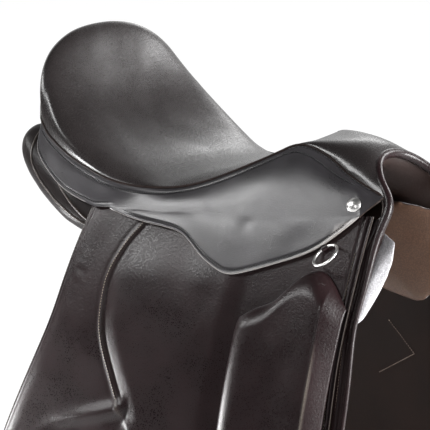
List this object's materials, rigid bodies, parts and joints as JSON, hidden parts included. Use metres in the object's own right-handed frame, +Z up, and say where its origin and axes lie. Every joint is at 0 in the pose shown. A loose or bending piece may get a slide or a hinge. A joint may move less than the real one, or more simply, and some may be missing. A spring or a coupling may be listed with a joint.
{
  "type": "english saddle",
  "caption": "English dressage saddle: deep padded seat on a sprung tree, long straight flaps with knee blocks, small skirts, piped panels and billet straps.",
  "frame": {"origin": "on the mid-plane under the deepest part of the seat, level with the bearing face of the panels there", "axes": "+X towards the pommel, +Y towards the rider's left, +Z up; the two sides mirror each other about the X-Z plane"},
  "size_m": [0.522, 0.526, 0.5928],
  "materials": {
    "seat_leather": "satin",
    "flap_leather": "satin",
    "panel_leather": "gloss",
    "billet_leather": "satin",
    "foam": "matt",
    "webbing": "matt",
    "wood": "varnished",
    "steel": "brushed",
    "bright_metal": "polished"
  },
  "bodies": {
    "saddle": {"seat_cover": "seat_leather", "seat_foam": "foam", "seat_webbing": "webbing", "tree_cantle": "wood", "tree_rail_right": "wood", "tree_rail_left": "wood", "spring_steels": "steel", "tree_head": "wood", "head_plate": "steel", "gullet_plate": "steel", "gullet_lining": "panel_leather", "cantle_facing": "seat_leather", "arch_roll": "seat_leather", "front_girth_webbing": "webbing", "rear_girth_webbing": "webbing", "bar_rivets": "steel", "saddle_nails": "bright_metal", "skirt_band_right": "seat_leather", "skirt_band_left": "seat_leather", "sweat_flap_right": "panel_leather", "sweat_flap_left": "panel_leather", "panel_right": "panel_leather", "panel_left": "panel_leather", "stirrup_bar_right": "steel", "stirrup_bar_left": "steel", "latch_pin_right": "steel", "latch_pin_left": "steel", "point_pocket_right": "panel_leather", "point_pocket_left": "panel_leather"},
    "flap_right": {"flap_right": "flap_leather", "knee_block_right": "flap_leather", "ring_chape_right": "billet_leather"},
    "skirt_right": {"skirt_leaf_right": "seat_leather"},
    "front_ring_right": {"front_ring_right": "bright_metal"},
    "front_billet_right": {"front_billet_right": "billet_leather"},
    "rear_billet_right": {"rear_billet_right": "billet_leather"},
    "bar_latch_right": {"bar_latch_right": "steel"},
    "flap_left": {"flap_left": "flap_leather", "knee_block_left": "flap_leather", "ring_chape_left": "billet_leather"},
    "skirt_left": {"skirt_leaf_left": "seat_leather"},
    "front_ring_left": {"front_ring_left": "bright_metal"},
    "front_billet_left": {"front_billet_left": "billet_leather"},
    "rear_billet_left": {"rear_billet_left": "billet_leather"},
    "bar_latch_left": {"bar_latch_left": "steel"}
  },
  "joints": [
    {"name": "flap_lift_right", "type": "hinge", "parent": "saddle", "child": "flap_right", "pos_m": [0.20564, -0.08511, 0.08667], "axis": [-0.9804, -0.1723, -0.0951], "range_deg": [0, 90]},
    {"name": "skirt_lift_right", "type": "hinge", "parent": "flap_right", "child": "skirt_right", "pos_m": [0.20564, -0.08511, 0.08667], "axis": [-0.9804, -0.1723, -0.0951], "range_deg": [0, 60]},
    {"name": "ring_turn_right", "type": "hinge", "parent": "flap_right", "child": "front_ring_right", "pos_m": [0.1927, -0.10232, 0.05003], "axis": [-0.7298, -0.3708, -0.5743], "range_deg": [-34, 50]},
    {"name": "front_billet_swing_right", "type": "hinge", "parent": "saddle", "child": "front_billet_right", "pos_m": [0.062, -0.10651, 0.05313], "axis": [0.1731, -0.9849, 0], "range_deg": [-4, 4]},
    {"name": "rear_billet_swing_right", "type": "hinge", "parent": "saddle", "child": "rear_billet_right", "pos_m": [-0.03, -0.12268, 0.04421], "axis": [0.1731, -0.9849, 0], "range_deg": [-4, 4]},
    {"name": "latch_turn_right", "type": "hinge", "parent": "saddle", "child": "bar_latch_right", "pos_m": [0.111, -0.07049, 0.09509], "axis": [0, -0.829, 0.5592], "range_deg": [0, 90]},
    {"name": "flap_lift_left", "type": "hinge", "parent": "saddle", "child": "flap_left", "pos_m": [0.20564, 0.08511, 0.08667], "axis": [0.9804, -0.1723, 0.0951], "range_deg": [0, 90]},
    {"name": "skirt_lift_left", "type": "hinge", "parent": "flap_left", "child": "skirt_left", "pos_m": [0.20564, 0.08511, 0.08667], "axis": [0.9804, -0.1723, 0.0951], "range_deg": [0, 60]},
    {"name": "ring_turn_left", "type": "hinge", "parent": "flap_left", "child": "front_ring_left", "pos_m": [0.1927, 0.10232, 0.05003], "axis": [0.7298, -0.3708, 0.5743], "range_deg": [-34, 50]},
    {"name": "front_billet_swing_left", "type": "hinge", "parent": "saddle", "child": "front_billet_left", "pos_m": [0.062, 0.10651, 0.05313], "axis": [-0.1731, -0.9849, 0], "range_deg": [-4, 4]},
    {"name": "rear_billet_swing_left", "type": "hinge", "parent": "saddle", "child": "rear_billet_left", "pos_m": [-0.03, 0.12268, 0.04421], "axis": [-0.1731, -0.9849, 0], "range_deg": [-4, 4]},
    {"name": "latch_turn_left", "type": "hinge", "parent": "saddle", "child": "bar_latch_left", "pos_m": [0.111, 0.07049, 0.09509], "axis": [0, -0.829, -0.5592], "range_deg": [0, 90]}
  ]
}
